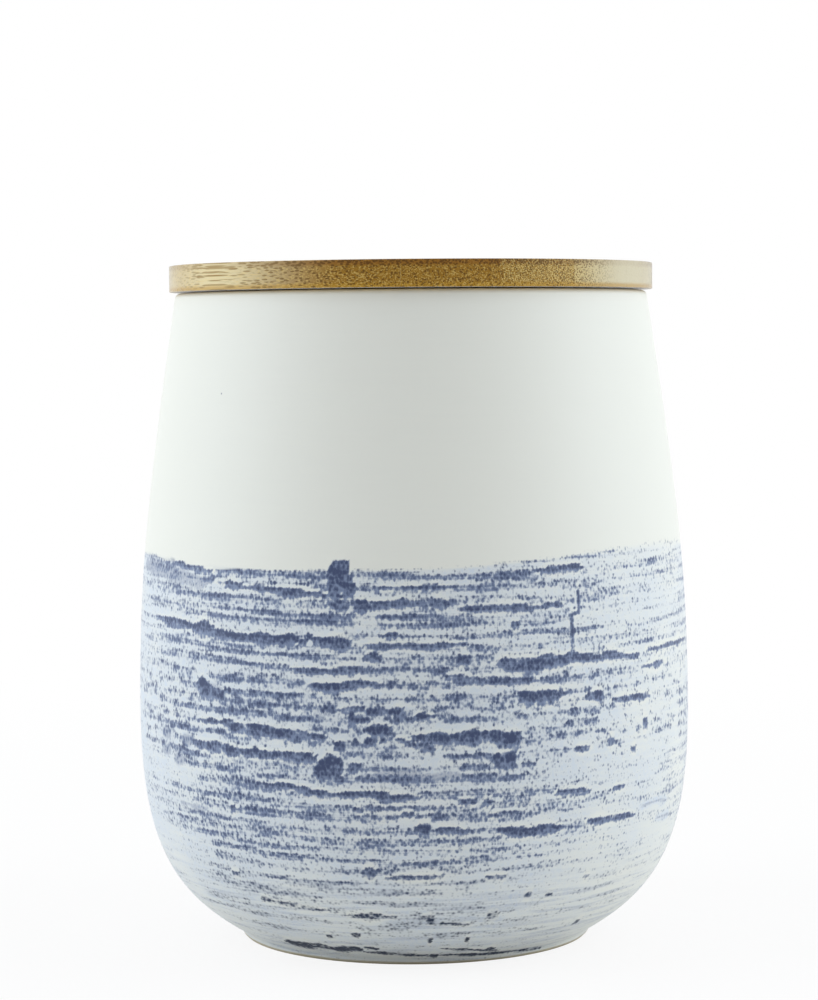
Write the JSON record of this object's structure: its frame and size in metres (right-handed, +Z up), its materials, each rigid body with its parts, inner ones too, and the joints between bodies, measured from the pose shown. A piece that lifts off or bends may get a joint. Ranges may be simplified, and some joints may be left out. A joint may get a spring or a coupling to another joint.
{
  "type": "lidded canister",
  "caption": "Rounded stoneware canister with a tapered upper wall, a low foot ring and a flat bamboo lid whose plug and seal lift out of the mouth.",
  "frame": {"origin": "on the standing plane, under the middle of the foot ring", "axes": "+Z up along the canister's axis, -Y towards the front that the picture shows"},
  "size_m": [0.1256, 0.1256, 0.1528],
  "materials": {
    "stoneware": "satin",
    "bamboo_board": "satin",
    "bamboo_plug": "matte",
    "silicone": "matte"
  },
  "bodies": {
    "canister": {"canister_body": "stoneware"},
    "lid": {"lid_strip_1": "bamboo_board", "lid_strip_2": "bamboo_board", "lid_strip_3": "bamboo_board", "lid_strip_4": "bamboo_board", "lid_strip_5": "bamboo_board", "lid_strip_6": "bamboo_board", "plug_strip_1": "bamboo_plug", "plug_strip_2": "bamboo_plug", "plug_strip_3": "bamboo_plug", "plug_strip_4": "bamboo_plug", "plug_strip_5": "bamboo_plug", "plug_strip_6": "bamboo_plug", "seal_ring": "silicone"}
  },
  "joints": [
    {"name": "lid_lift", "type": "slide", "parent": "canister", "child": "lid", "axis": [0, 0, 1], "range_m": [0, 0.15]}
  ]
}
